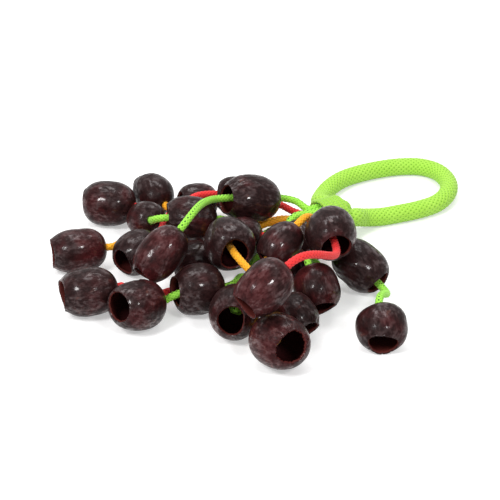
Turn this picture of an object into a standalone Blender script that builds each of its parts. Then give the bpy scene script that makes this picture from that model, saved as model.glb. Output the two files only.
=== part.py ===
"""Seed cluster shaker, laid down at rest on a flat surface.

Hollow nut shells, each sawn open at one end and pierced at the other, are threaded two by two
on braided cords. A stopper knot inside each shell holds it. The upper ends of all the cords and
both ends of a thick rope loop, the handle, are gripped by one wound binding.

Metres, +Z up, resting on z = 0. +X runs towards the handle.
"""

import math

import bpy
import numpy as np
from mathutils import Matrix

# Nut shells, before each one's own proportions
NUT_LENGTH = 0.026
NUT_WIDTH = 0.024
NUT_WALL = 0.0013
MOUTH_WIDTH = 0.0125
MOUTH_RIM = 0.0009
NUT_ROUNDNESS = 2.4  # 2 is an ellipsoid, more is closer to a barrel
NUT_LUMP = 0.035  # depth of the lumps as a share of the radius
LUMP_WAVES = 3
LUMP_TURN = 3.4  # radians that a lump's wave turns through per unit of direction

# Braided cords and their stopper knots
CORD_WIDTH = 0.0038
HOLE_CLEARANCE = 0.0004
KNOT_WIDTH = 0.0086
KNOT_LENGTH = 0.0075
KNOT_SEAT = 0.0004
LEAD_IN = 0.6  # how many cord widths before a nut's back the cord is straight

# Handle loop and the binding at its neck
HANDLE_WIDTH = 0.0095
BINDING_LENGTH = 0.012
BINDING_WALL = 0.0014
BINDING_TURNS = 6
BINDING_GROOVE = 0.0006
GRIP_DEPTH = 0.0055  # how far each cord and each handle end reaches into the binding

# Gaps
TOUCH_GAP = 0.0003
NUT_GAP = 0.0005
CORD_GAP = 0.0006

# Easing: the rule that clears nuts and cords of each other after they are placed
NUT_ROUNDS = 400
NUT_STEP = 0.00001
CORD_ROUNDS = 600
CORD_SHARE = 0.5  # share of each overlap that one round takes away
CORD_SPREAD = 0.24  # how strongly a cord's neighbouring points share their shift
SPREAD_UNTIL = 0.5  # share of the rounds after which the shifts stay as they are
CORD_RESORT = 30  # rounds between two searches for what lies near
CORD_REACH = 0.012
SELF_STEPS = 4  # points of one cord nearer than this along it are never tested together
SHARPEST = 0.55  # radians of bend at one point

# Facets
NUT_SIDES = 12
OUTER_RINGS = 6
INNER_RINGS = 3
BINDING_SIDES = 24
CORD_STEP = 1.5  # diameters between two points of a cord
HANDLE_STEP = 0.9

# Where the cords leave the binding, and the way they point there
NECK_PLACE = (0.033, 0.033)
NECK_HEADING = 210.0

# Handle loop, from the binding's one side round to its other side, along the middle of the rope
HANDLE_ROUTE = [
    (0.0560, 0.0450, 0.0070),
    (0.0650, 0.0495, 0.0049),
    (0.0750, 0.0530, 0.0049),
    (0.0855, 0.0575, 0.0049),
    (0.0950, 0.0640, 0.0049),
    (0.1010, 0.0730, 0.0049),
    (0.1035, 0.0825, 0.0049),
    (0.1025, 0.0925, 0.0049),
    (0.0985, 0.1005, 0.0049),
    (0.0910, 0.1055, 0.0049),
    (0.0805, 0.1060, 0.0049),
    (0.0685, 0.1030, 0.0049),
    (0.0575, 0.0980, 0.0049),
    (0.0480, 0.0915, 0.0049),
    (0.0405, 0.0820, 0.0049),
    (0.0355, 0.0705, 0.0049),
    (0.0345, 0.0610, 0.0070),
]

# Each strand: cord colour, its place in the bundle (row, column), then its two nuts from the
# binding outwards. A nut's row holds its place, the aim of its mouth (heading and tilt in
# degrees) and its length, width and thickness as multiples of the sizes above. A height of 0
# stands for the surface. The lead runs from the binding to the upper nut's back, and the link
# from its mouth to the end nut's back.
STRANDS = [
    {
        "cord": "green", "slot": (0, 2),
        "upper": ((-0.003, 0.028, 0.025), (205, 12), (1.17, 1.08, 1.00)),
        "end": ((-0.042, -0.026, 0.024), (220, -37), (1.14, 0.86, 0.86)),
        "lead": [(0.0210, 0.0375, 0.0205)],
        "link": [],
    },
    {
        "cord": "green", "slot": (2, 0),
        "upper": ((0.049, -0.013, 0.0), (318, -25), (1.12, 0.98, 0.96)),
        "end": ((0.057, -0.064, 0.0), (272, -22), (0.87, 1.00, 0.86)),
        "lead": [(0.0370, 0.0150, 0.0120)],
        "link": [],
    },
    {
        "cord": "green", "slot": (3, 1),
        "upper": ((0.002, -0.032, 0.0), (225, 5), (0.81, 0.79, 0.79)),
        "end": ((-0.010, -0.053, 0.0), (262, 12), (1.08, 0.97, 1.04)),
        "lead": [(0.0130, 0.0220, 0.0035), (0.0030, 0.0060, 0.0035)],
        "link": [],
    },
    {
        "cord": "green", "slot": (2, 2),
        "upper": ((-0.031, 0.017, 0.022), (185, 5), (1.04, 0.96, 0.94)),
        "end": ((-0.054, 0.034, 0.012), (110, -25), (0.85, 0.81, 0.81)),
        "lead": [(0.0100, 0.0280, 0.0070), (-0.0040, 0.0220, 0.0080)],
        "link": [],
    },
    {
        "cord": "green", "slot": (3, 2),
        "upper": ((-0.027, -0.034, 0.0), (200, 5), (0.96, 1.04, 1.04)),
        "end": ((-0.053, -0.047, 0.0), (226, 18), (1.10, 1.0, 0.98)),
        "lead": [(0.0110, 0.0170, 0.0035), (-0.0030, -0.0080, 0.0035)],
        "link": [],
    },
    {
        "cord": "green", "slot": (0, 1),
        "upper": ((0.023, 0.012, 0.0), (296, -20), (0.89, 0.84, 0.83)),
        "end": ((0.0275, -0.036, 0.0), (290, -36), (0.92, 0.92, 0.92)),
        "lead": [(0.0200, 0.0300, 0.0175)],
        "link": [(0.0295, -0.0080, 0.0130)],
    },
    {
        "cord": "yellow", "slot": (1, 2),
        "upper": ((-0.012, -0.016, 0.026), (285, 5), (1.04, 1.04, 1.04)),
        "end": ((0.011, -0.079, 0.0), (296, 18), (1.08, 1.08, 1.08)),
        "lead": [
            (0.0130, 0.0280, 0.0100), (-0.0070, 0.0220, 0.0070),
            (-0.0190, 0.0160, 0.0110), (-0.0215, 0.0090, 0.0170),
        ],
        "link": [(0.0030, -0.0460, 0.0190)],
    },
    {
        "cord": "yellow", "slot": (0, 0),
        "upper": ((0.012, -0.019, 0.028), (225, -28), (0.94, 0.76, 0.76)),
        "end": ((0.0205, -0.050, 0.0), (310, -25), (0.87, 0.81, 0.81)),
        "lead": [(0.0310, 0.0180, 0.0160)],
        "link": [(0.0060, -0.0370, 0.0210)],
    },
    {
        "cord": "yellow", "slot": (2, 1),
        "upper": ((-0.0275, -0.0042, 0.0), (180, -10), (0.89, 0.87, 0.87)),
        "end": ((-0.0855, 0.0045, 0.0), (194, 0), (1.13, 0.95, 0.9)),
        "lead": [(0.0100, 0.0300, 0.0030), (0.0000, 0.0120, 0.0035)],
        "link": [(-0.0500, 0.0160, 0.0090)],
    },
    {
        "cord": "yellow", "slot": (2, 3),
        "upper": ((-0.0275, 0.0560, 0.0), (205, 8), (0.85, 0.83, 0.83)),
        "end": ((-0.050, 0.064, 0.0), (122, 5), (0.94, 0.9, 0.85)),
        "lead": [
            (0.0150, 0.0460, 0.0060), (0.0040, 0.0450, 0.0040),
            (-0.0050, 0.0530, 0.0035), (-0.0130, 0.0610, 0.0060),
        ],
        "link": [],
    },
    {
        "cord": "red", "slot": (1, 0),
        "upper": ((0.037, -0.017, 0.031), (280, -8), (0.98, 1.01, 1.01)),
        "end": ((0.004, -0.073, 0.037), (217, -26), (1.08, 0.96, 0.92)),
        "lead": [(0.0360, 0.0140, 0.0220)],
        "link": [],
    },
    {
        "cord": "red", "slot": (1, 3),
        "upper": ((-0.0110, 0.049, 0.0165), (178, 5), (0.90, 0.83, 0.83)),
        "end": ((-0.0565, 0.003, 0.0), (230, -8), (0.96, 0.92, 0.9)),
        "lead": [(0.0150, 0.0440, 0.0140)],
        "link": [(-0.0280, 0.0440, 0.0195), (-0.0340, 0.0370, 0.0190), (-0.0440, 0.0260, 0.0160)],
    },
    {
        "cord": "red", "slot": (1, 1),
        "upper": ((-0.007, 0.008, 0.018), (172, -10), (0.92, 0.87, 0.87)),
        "end": ((-0.074, 0.051, 0.0), (168, 0), (1.08, 1.0, 0.98)),
        "lead": [(0.0190, 0.0280, 0.0125), (0.0100, 0.0200, 0.0140)],
        "link": [
            (-0.0240, 0.0130, 0.0095), (-0.0300, 0.0190, 0.0060),
            (-0.0400, 0.0360, 0.0030), (-0.0500, 0.0470, 0.0060),
        ],
    },
    {
        "cord": "red", "slot": (3, 0),
        "upper": ((0.016, -0.008, 0.0), (200, -10), (0.85, 0.83, 0.83)),
        "end": ((-0.077, -0.035, 0.0), (197, 0), (1.08, 1.04, 1.0)),
        "lead": [(0.0350, 0.0100, 0.0050)],
        "link": [(-0.0100, -0.0160, 0.0030), (-0.0400, -0.0220, 0.0030), (-0.0600, -0.0340, 0.0040)],
    },
]

# Colours
CORD_COLOURS = {
    "green": (0.30, 0.72, 0.06),
    "yellow": (0.90, 0.42, 0.02),
    "red": (0.75, 0.03, 0.03),
}
HANDLE_COLOUR = (0.42, 0.78, 0.08)
NUT_COLOUR = (0.045, 0.018, 0.016)


def clear_scene():
    for obj in list(bpy.data.objects):
        bpy.data.objects.remove(obj, do_unlink=True)


def make_material(name, colour, roughness):
    material = bpy.data.materials.new(name)
    material.use_nodes = True
    shader = material.node_tree.nodes["Principled BSDF"]
    shader.inputs["Base Color"].default_value = (*colour, 1.0)
    shader.inputs["Roughness"].default_value = roughness
    shader.inputs["Metallic"].default_value = 0.0
    return material


def make_grid_object(name, rings, material):
    """A closed surface over rings of points, where the last ring joins the first again."""
    count, sides = rings.shape[:2]
    index = np.arange(count * sides).reshape(count, sides)
    across = np.roll(index, -1, axis=1)
    along = np.roll(index, -1, axis=0)
    both = np.roll(across, -1, axis=0)
    faces = np.stack([index, across, both, along], axis=-1).reshape(-1, 4)
    mesh = bpy.data.meshes.new(name)
    mesh.from_pydata(rings.reshape(-1, 3).tolist(), [], faces.tolist())
    mesh.materials.append(material)
    mesh.shade_smooth()
    mesh.set_sharp_from_angle(angle=math.radians(50))
    obj = bpy.data.objects.new(name, mesh)
    bpy.context.collection.objects.link(obj)
    return obj


class Nut:
    """One shell: a rounded barrel about its own axis, which points out of its mouth."""

    def __init__(self, name, row, seed):
        place, (heading, tilt), (length, width, thickness) = row
        self.name = name
        self.half = np.array([NUT_WIDTH * width, NUT_WIDTH * thickness, NUT_LENGTH * length]) / 2
        heading, tilt = math.radians(heading), math.radians(tilt)
        level = math.cos(tilt)
        axis = np.array([level * math.cos(heading), level * math.sin(heading), math.sin(tilt)])
        side = np.array([-math.sin(heading), math.cos(heading), 0.0])
        self.axis = axis
        self.turn = np.stack([side, np.cross(axis, side), axis], axis=1)
        waves = np.random.default_rng(seed)
        self.wave_ways = waves.normal(size=(LUMP_WAVES, 3))
        self.wave_ways /= np.linalg.norm(self.wave_ways, axis=1, keepdims=True)
        self.wave_starts = waves.uniform(0, 2 * math.pi, LUMP_WAVES)
        self.mouth = MOUTH_WIDTH / 2 * width
        self.hole = CORD_WIDTH / 2 + HOLE_CLEARANCE
        self.points = self.outer_rings().reshape(-1, 3) @ self.turn.T
        self.floor = -self.points[:, 2].min()
        self.place = np.array([place[0], place[1], max(place[2], self.floor)])

    def reach(self, local):
        """Distance from the centre to the outer surface along each local direction."""
        unit = local / np.linalg.norm(local, axis=-1, keepdims=True)
        smooth = (np.abs(unit / self.half) ** [2, 2, NUT_ROUNDNESS]).copy()
        across = np.sqrt(smooth[..., 0] + smooth[..., 1]) ** NUT_ROUNDNESS
        barrel = (across + smooth[..., 2]) ** (-1 / NUT_ROUNDNESS)
        waves = np.sin(LUMP_TURN * unit @ self.wave_ways.T + self.wave_starts).mean(axis=-1)
        return barrel * (1 + NUT_LUMP * waves)

    def mouth_height(self):
        """How far along the axis the flat ring round the mouth lies."""
        wide = (self.half[0] + self.half[1]) / 2
        share = 1 - ((self.mouth + MOUTH_RIM) / wide) ** NUT_ROUNDNESS
        return self.half[2] * share ** (1 / NUT_ROUNDNESS)

    def ring(self, radius, height):
        turn = 2 * math.pi * np.arange(NUT_SIDES) / NUT_SIDES
        return np.stack([radius * np.cos(turn), radius * np.sin(turn), np.full(NUT_SIDES, height)], 1)

    def surface(self, angles, inset):
        """Rings of the surface, at angles from the back of the axis, that much under the skin."""
        turn = 2 * math.pi * np.arange(NUT_SIDES) / NUT_SIDES
        spread = np.sin(angles)[:, None]
        unit = np.stack(
            [spread * np.cos(turn), spread * np.sin(turn), -np.cos(angles)[:, None] + 0 * turn], -1
        )
        return unit * (self.reach(unit) - inset)[..., None]

    def rim_angle(self):
        return math.pi - math.atan2(self.mouth + MOUTH_RIM, self.mouth_height())

    def outer_rings(self):
        back = math.atan2(self.hole, self.half[2])
        return self.surface(np.linspace(back, self.rim_angle(), OUTER_RINGS + 1), 0.0)

    def shell(self):
        """Rings from the pierced back, over the outside, round the rim and back inside."""
        outside = self.outer_rings()[:-1]
        edge = np.hypot(outside[0, :, 0], outside[0, :, 1])
        outside[0, :, :2] *= (self.hole / edge)[:, None]
        height = self.mouth_height()
        lip = height - NUT_WALL
        deep = self.half[2] - NUT_WALL
        first = math.pi - math.atan2(self.mouth, lip)
        last = math.atan2(self.hole, deep)
        inside = self.surface(np.linspace(first, last, INNER_RINGS + 2)[1:-1], NUT_WALL)
        hole_inside = self.surface(np.array([last]), NUT_WALL)[0]
        edge = np.hypot(hole_inside[:, 0], hole_inside[:, 1])
        hole_inside[:, :2] *= (self.hole / edge)[:, None]
        rim = [
            self.ring(self.mouth + MOUTH_RIM, height),
            self.ring(self.mouth, height),
            self.ring(self.mouth, lip),
        ]
        rings = np.concatenate([outside, rim, inside, [hole_inside]])
        return rings @ self.turn.T + self.place

    def along(self, distance):
        return self.place + self.axis * distance

    def back(self):
        """Distance from the centre to the back, along the axis."""
        return float(self.reach(np.array([0.0, 0.0, -1.0])))


def gap_between(one, other):
    """The least distance from either nut's points to the other's surface, near enough."""
    to_other = (one.points + one.place - other.place) @ other.turn
    to_one = (other.points + other.place - one.place) @ one.turn
    return min(
        (np.linalg.norm(to_other, axis=1) - other.reach(to_other)).min(),
        (np.linalg.norm(to_one, axis=1) - one.reach(to_one)).min(),
    )


def ease_apart(nuts):
    """Pushes nuts that press into each other apart, above the surface, until all are clear."""
    widest = 2 * max(nut.half.max() for nut in nuts) * (1 + NUT_LUMP) + NUT_GAP
    for _ in range(NUT_ROUNDS):
        moved = False
        for i, nut in enumerate(nuts):
            for other in nuts[:i]:
                apart = nut.place - other.place
                distance = np.linalg.norm(apart)
                if distance > widest:
                    continue
                short = NUT_GAP - gap_between(nut, other)
                if short > 0:
                    push = apart / distance * (short / 2 + NUT_STEP)
                    nut.place = nut.place + push
                    other.place = other.place - push
                    moved = True
        for nut in nuts:
            nut.place[2] = max(nut.place[2], nut.floor)
        if not moved:
            return


def smooth_route(points, step):
    """Points on a smooth curve through the route's own points, and which of them those are."""
    points = np.array(points)
    before = np.concatenate([[2 * points[0] - points[1]], points[:-1]])
    after = np.concatenate([points[1:], [2 * points[-1] - points[-2]]])
    ahead = np.linalg.norm(after - points, axis=1)[:, None]
    behind = np.linalg.norm(points - before, axis=1)[:, None]
    slope = (after - points) / ahead * behind + (points - before) / behind * ahead
    slope /= ahead + behind
    out = [points[:1]]
    place = [0]
    for i in range(len(points) - 1):
        span = np.linalg.norm(points[i + 1] - points[i])
        count = max(1, round(span / step))
        t = (np.arange(1, count + 1) / count)[:, None]
        out.append(
            (2 * t**3 - 3 * t**2 + 1) * points[i]
            + (t**3 - 2 * t**2 + t) * span * slope[i]
            + (3 * t**2 - 2 * t**3) * points[i + 1]
            + (t**3 - t**2) * span * slope[i + 1]
        )
        place.append(place[-1] + count)
    return np.concatenate(out), np.array(place)


def neck_frame():
    """The binding's middle line: its outer face, the way out, and sideways to the right."""
    heading = math.radians(NECK_HEADING)
    out = np.array([math.cos(heading), math.sin(heading), 0.0])
    right = np.array([out[1], -out[0], 0.0])
    return np.array([*NECK_PLACE, binding_outer()[1] + TOUCH_GAP]), out, right


BUNDLE_ROWS = [3, 4, 4, 3]


def slot_offset(row, column):
    """Sideways and upward place of a cord in the bundle."""
    pitch = CORD_WIDTH + TOUCH_GAP
    sideways = (column - (BUNDLE_ROWS[row] - 1) / 2) * pitch
    upward = ((len(BUNDLE_ROWS) - 1) / 2 - row) * pitch
    return sideways, upward


def bundle_radius():
    """Radius of the circle round all the cords in the binding."""
    slots = [slot_offset(r, c) for r, n in enumerate(BUNDLE_ROWS) for c in range(n)]
    return max(math.hypot(*slot) for slot in slots) + CORD_WIDTH / 2


def handle_offset():
    return (HANDLE_WIDTH + TOUCH_GAP) / 2


def binding_inner():
    """Half the binding's opening, sideways and upwards: it is an oval round two ropes and a bundle."""
    handle_reach = handle_offset() + HANDLE_WIDTH / 2
    return np.array([max(bundle_radius(), handle_reach), bundle_radius()]) + TOUCH_GAP


def binding_outer():
    return binding_inner() + BINDING_WALL


def make_binding(material):
    """Turns of cord wound side by side: a ring with a groove between each two turns."""
    centre, out, right = neck_frame()
    profile = []
    for turn in range(BINDING_TURNS):
        start = turn / BINDING_TURNS
        profile.append((start * BINDING_LENGTH, binding_outer() - BINDING_GROOVE))
        profile.append(((start + 0.5 / BINDING_TURNS) * BINDING_LENGTH, binding_outer()))
    profile.append((BINDING_LENGTH, binding_outer() - BINDING_GROOVE))
    profile.append((BINDING_LENGTH, binding_inner()))
    profile.append((0.0, binding_inner()))
    turn = 2 * math.pi * np.arange(BINDING_SIDES) / BINDING_SIDES
    oval = [np.cos(turn)[:, None] * right, np.sin(turn)[:, None] * np.array([0, 0, 1.0])]
    rings = np.array(
        [centre - out * back + oval[0] * half[0] + oval[1] * half[1] for back, half in profile]
    )
    return make_grid_object("neck_binding", rings, material)


def make_rope(name, points, width, sides, material, widths=None):
    """A round rope along points, with closed ends. widths scales it at each point."""
    curve = bpy.data.curves.new(name, "CURVE")
    curve.dimensions = "3D"
    curve.bevel_depth = width / 2
    curve.bevel_resolution = sides
    curve.use_fill_caps = True
    spline = curve.splines.new("POLY")
    spline.points.add(len(points) - 1)
    spline.points.foreach_set("co", np.c_[points, np.ones(len(points))].ravel())
    if widths is not None:
        spline.points.foreach_set("radius", widths)
    spline.use_smooth = True
    curve.materials.append(material)
    obj = bpy.data.objects.new(name, curve)
    bpy.context.collection.objects.link(obj)
    return obj


def lay_strand(strand):
    """The cord's points, which of them are held in place, and its width at each.

    It is held in the binding, and in each nut from just outside the back to the stopper knot.
    """
    centre, out, right = neck_frame()
    sideways, upward = slot_offset(*strand["slot"])
    seat = centre + right * sideways + np.array([0, 0, upward])
    route = [seat - out * GRIP_DEPTH, seat, seat + out * CORD_WIDTH, *strand["lead"]]
    spans = [(0, 2)]
    knots = []
    for nut, link in ((strand["upper_nut"], strand["link"]), (strand["end_nut"], None)):
        first = len(route)
        inner = NUT_WALL + KNOT_SEAT - nut.back()
        route += [nut.along(-nut.back() - CORD_WIDTH * LEAD_IN), nut.along(inner)]
        route += [nut.along(inner + KNOT_LENGTH * share) for share in (0.25, 0.75, 1.0)]
        spans.append((first, first + 4))
        knots += [first + 2, first + 3]
        if link is not None:
            route += [nut.along(nut.mouth_height()), *link]
        else:
            route.append(nut.along(inner + KNOT_LENGTH + CORD_WIDTH))
            spans.append((first + 4, first + 5))
    points, place = smooth_route(route, CORD_STEP * CORD_WIDTH)
    held = np.zeros(len(points), bool)
    for first, last in spans:
        held[place[first] : place[last] + 1] = True
    widths = np.full(len(points), CORD_WIDTH)
    widths[place[knots]] = KNOT_WIDTH
    return points, held, widths, (place[knots[0]], place[knots[2]])


def push_from_nut(nut, spots, radius, own_side):
    """Moves that take spots of a cord clear of a nut. own_side marks those past its own knot,
    which run inside the shell and out of its mouth."""
    local = (spots - nut.place) @ nut.turn
    distance = np.linalg.norm(local, axis=1)
    off = np.hypot(local[:, 0], local[:, 1])
    short = nut.reach(local) + radius + CORD_GAP - distance
    push = local / distance[:, None] * np.maximum(short, 0)[:, None]
    leaving = own_side & (local[:, 2] < nut.mouth_height() + radius) & (off < nut.half[0])
    over = np.maximum(off + radius + CORD_GAP - nut.mouth, 0) / np.maximum(off, CORD_GAP)
    inward = -local * np.array([1.0, 1.0, 0.0]) * over[:, None]
    return np.where(leaving[:, None], inward, push) @ nut.turn.T


def ease_cords(strands, nuts):
    """Shifts the free points of all cords until they clear the nuts, each other and the surface.

    Each cord is tested at its points and halfway between them.
    """
    laid = [lay_strand(strand) for strand in strands]
    counts = [len(points) for points, *_ in laid]
    start = np.concatenate([points for points, *_ in laid])
    held = np.concatenate([marks for _, marks, *_ in laid])
    width = np.concatenate([widths for _, _, widths, _ in laid])
    cord = np.repeat(np.arange(len(laid)), counts)
    step = np.concatenate([np.arange(count) for count in counts])
    first = np.flatnonzero(cord[:-1] == cord[1:])
    radius = np.concatenate([width, (width[first] + width[first + 1]) / 2]) / 2
    spot_cord = np.concatenate([cord, cord[first]])
    spot_step = np.concatenate([step, step[first] + 0.5])
    past = np.array([knots for *_, knots in laid])[spot_cord]
    inner = np.flatnonzero(~held)
    one, two = np.triu_indices(len(radius), 1)
    fixed = np.concatenate([held, held[first] & held[first + 1]])
    beside = (spot_cord[one] == spot_cord[two]) & (abs(spot_step[one] - spot_step[two]) < SELF_STEPS)
    one, two = one[~beside & ~(fixed[one] & fixed[two])], two[~beside & ~(fixed[one] & fixed[two])]
    now = start.copy()
    for turn in range(CORD_ROUNDS):
        spots = np.concatenate([now, (now[first] + now[first + 1]) / 2])
        if turn % CORD_RESORT == 0:
            close = np.linalg.norm(spots[one] - spots[two], axis=1) < CORD_REACH
            near_one, near_two = one[close], two[close]
            places = np.array([nut.place for nut in nuts])
            beside_nut = np.linalg.norm(spots[:, None] - places, axis=2) < CORD_REACH + NUT_LENGTH / 2
        push = np.zeros_like(spots)
        for number, nut in enumerate(nuts):
            near = np.flatnonzero(beside_nut[:, number])
            own_side = spot_cord[near] == number // 2
            own_side &= spot_step[near] > past[near, number % 2]
            push[near] += push_from_nut(nut, spots[near], radius[near], own_side)
        apart = spots[near_one] - spots[near_two]
        distance = np.linalg.norm(apart, axis=1)
        short = np.maximum(radius[near_one] + radius[near_two] + CORD_GAP - distance, 0) / 2
        apart *= (short / distance)[:, None]
        np.add.at(push, near_one, apart)
        np.add.at(push, near_two, -apart)
        push[:, 2] += np.maximum(radius + CORD_GAP - spots[:, 2], 0)
        move = push[: len(now)].copy()
        np.add.at(move, first, push[len(now) :])
        np.add.at(move, first + 1, push[len(now) :])
        now[inner] += move[inner] * CORD_SHARE
        if turn < CORD_ROUNDS * SPREAD_UNTIL:
            shift = now - start
            now[inner] += (shift[inner - 1] + shift[inner + 1] - 2 * shift[inner]) * CORD_SPREAD
        bend = now[inner - 1] + now[inner + 1] - 2 * now[inner]
        size = np.linalg.norm(bend, axis=1)
        stretch = np.linalg.norm(now[inner + 1] - now[inner - 1], axis=1) / 2
        sharp = np.maximum(1 - stretch * SHARPEST / np.maximum(size, 1e-9), 0)
        now[inner] += bend * (sharp * CORD_SPREAD)[:, None]
    eased = np.split(now, np.cumsum(counts)[:-1])
    return [(points, widths) for points, (_, _, widths, _) in zip(eased, laid)]


def make_strand(name, points, widths, material):
    """A cord through its two nuts, swollen where it is knotted inside them."""
    return make_rope(name, points, CORD_WIDTH, 2, material, widths / CORD_WIDTH)


def make_handle(material):
    """The rope loop, whose two ends run side by side into the binding."""
    centre, out, right = neck_frame()
    seat = centre - out * (BINDING_LENGTH - GRIP_DEPTH)
    outside = centre - out * (BINDING_LENGTH + HANDLE_WIDTH / 2)
    first, last = -right * handle_offset(), right * handle_offset()
    route = [seat + last, outside + last]
    route += [np.array(p) for p in reversed(HANDLE_ROUTE)]
    route += [outside + first, seat + first]
    points, _ = smooth_route(route[::-1], HANDLE_STEP * HANDLE_WIDTH)
    return make_rope("handle_loop", points, HANDLE_WIDTH, 4, material)


def centre_on_origin(cords):
    """Moves everything so that the nuts, handle and binding are centred over the origin."""
    bodies = [obj for obj in bpy.data.objects if obj not in cords]
    bpy.context.view_layer.update()
    corners = np.array([corner[:] for obj in bodies for corner in obj.bound_box])
    middle = (corners.min(axis=0) + corners.max(axis=0)) / 2
    move = Matrix.Translation((-middle[0], -middle[1], 0.0))
    for obj in bpy.data.objects:
        obj.data.transform(move)


def main():
    clear_scene()
    cords = {name: make_material(f"braid_{name}", c, 0.6) for name, c in CORD_COLOURS.items()}
    handle_braid = make_material("handle_braid", HANDLE_COLOUR, 0.65)
    husk = make_material("nut_shell", NUT_COLOUR, 0.25)
    nuts = []
    for number, strand in enumerate(STRANDS, start=1):
        for seat in ("upper", "end"):
            nut = Nut(f"{seat}_nut_{number:02d}", strand[seat], len(nuts))
            strand[f"{seat}_nut"] = nut
            nuts.append(nut)
    ease_apart(nuts)
    for nut in nuts:
        make_grid_object(nut.name, nut.shell(), husk)
    eased = ease_cords(STRANDS, nuts)
    strings = []
    for number, (strand, (points, widths)) in enumerate(zip(STRANDS, eased), start=1):
        colour = strand["cord"]
        name = f"cord_{number:02d}_{colour}"
        strings.append(make_strand(name, points, widths, cords[colour]))
    make_handle(handle_braid)
    make_binding(cords["green"])
    centre_on_origin(strings)
    return nuts, eased


laid_out = main()
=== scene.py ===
"""Seed cluster shaker laid down on a white table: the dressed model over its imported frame."""

import math

import bpy
import numpy as np
from mathutils import Matrix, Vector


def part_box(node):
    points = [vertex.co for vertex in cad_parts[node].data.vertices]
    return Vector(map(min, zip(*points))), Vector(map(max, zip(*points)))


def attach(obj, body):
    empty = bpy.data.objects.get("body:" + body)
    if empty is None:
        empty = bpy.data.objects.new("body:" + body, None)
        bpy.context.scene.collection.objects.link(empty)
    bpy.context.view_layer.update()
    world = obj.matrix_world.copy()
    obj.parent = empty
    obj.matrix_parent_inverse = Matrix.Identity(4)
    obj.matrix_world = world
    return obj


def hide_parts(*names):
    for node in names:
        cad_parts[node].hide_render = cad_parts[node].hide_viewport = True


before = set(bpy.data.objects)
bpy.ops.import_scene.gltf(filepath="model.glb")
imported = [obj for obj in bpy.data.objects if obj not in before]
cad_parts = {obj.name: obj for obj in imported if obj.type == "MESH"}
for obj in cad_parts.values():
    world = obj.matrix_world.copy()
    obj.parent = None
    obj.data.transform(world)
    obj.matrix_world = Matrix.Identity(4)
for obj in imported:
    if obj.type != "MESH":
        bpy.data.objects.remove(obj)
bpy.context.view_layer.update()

# How the cluster lies. Twenty-eight hollow nut shells hang two by two on fourteen cords from one
# wound binding. Here each shell's place, aim and size are given, then the shells and the cords are
# eased clear of each other, by the rule that the solids were laid out with.
# Nut shells, before each one's own proportions
NUT_LENGTH = 0.026
NUT_WIDTH = 0.024
NUT_WALL = 0.0013
MOUTH_WIDTH = 0.0125
MOUTH_RIM = 0.0009
NUT_ROUNDNESS = 2.4  # 2 is an ellipsoid, more is closer to a barrel
NUT_LUMP = 0.035  # depth of the lumps as a share of the radius
LUMP_WAVES = 3
LUMP_TURN = 3.4  # radians that a lump's wave turns through per unit of direction

# Braided cords and their stopper knots
CORD_WIDTH = 0.0038
HOLE_CLEARANCE = 0.0004
KNOT_WIDTH = 0.0086
KNOT_LENGTH = 0.0075
KNOT_SEAT = 0.0004
LEAD_IN = 0.6  # how many cord widths before a nut's back the cord is straight

# Handle loop and the binding at its neck
HANDLE_WIDTH = 0.0095
BINDING_LENGTH = 0.012
BINDING_WALL = 0.0014
BINDING_TURNS = 6
BINDING_GROOVE = 0.0006
GRIP_DEPTH = 0.0055  # how far each cord and each handle end reaches into the binding

# Gaps
TOUCH_GAP = 0.0003
NUT_GAP = 0.0005
CORD_GAP = 0.0006

# Easing: the rule that clears nuts and cords of each other after they are placed
NUT_ROUNDS = 400
NUT_STEP = 0.00001
CORD_ROUNDS = 600
CORD_SHARE = 0.5  # share of each overlap that one round takes away
CORD_SPREAD = 0.24  # how strongly a cord's neighbouring points share their shift
SPREAD_UNTIL = 0.5  # share of the rounds after which the shifts stay as they are
CORD_RESORT = 30  # rounds between two searches for what lies near
CORD_REACH = 0.012
SELF_STEPS = 4  # points of one cord nearer than this along it are never tested together
SHARPEST = 0.55  # radians of bend at one point

# Facets
NUT_SIDES = 12
OUTER_RINGS = 6
INNER_RINGS = 3
CORD_STEP = 1.5  # diameters between two points of a cord
HANDLE_STEP = 0.9

# Where the cords leave the binding, and the way they point there
NECK_PLACE = (0.033, 0.033)
NECK_HEADING = 210.0

# Handle loop, from the binding's one side round to its other side, along the middle of the rope
HANDLE_ROUTE = [
    (0.0560, 0.0450, 0.0070),
    (0.0650, 0.0495, 0.0049),
    (0.0750, 0.0530, 0.0049),
    (0.0855, 0.0575, 0.0049),
    (0.0950, 0.0640, 0.0049),
    (0.1010, 0.0730, 0.0049),
    (0.1035, 0.0825, 0.0049),
    (0.1025, 0.0925, 0.0049),
    (0.0985, 0.1005, 0.0049),
    (0.0910, 0.1055, 0.0049),
    (0.0805, 0.1060, 0.0049),
    (0.0685, 0.1030, 0.0049),
    (0.0575, 0.0980, 0.0049),
    (0.0480, 0.0915, 0.0049),
    (0.0405, 0.0820, 0.0049),
    (0.0355, 0.0705, 0.0049),
    (0.0345, 0.0610, 0.0070),
]

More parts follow.
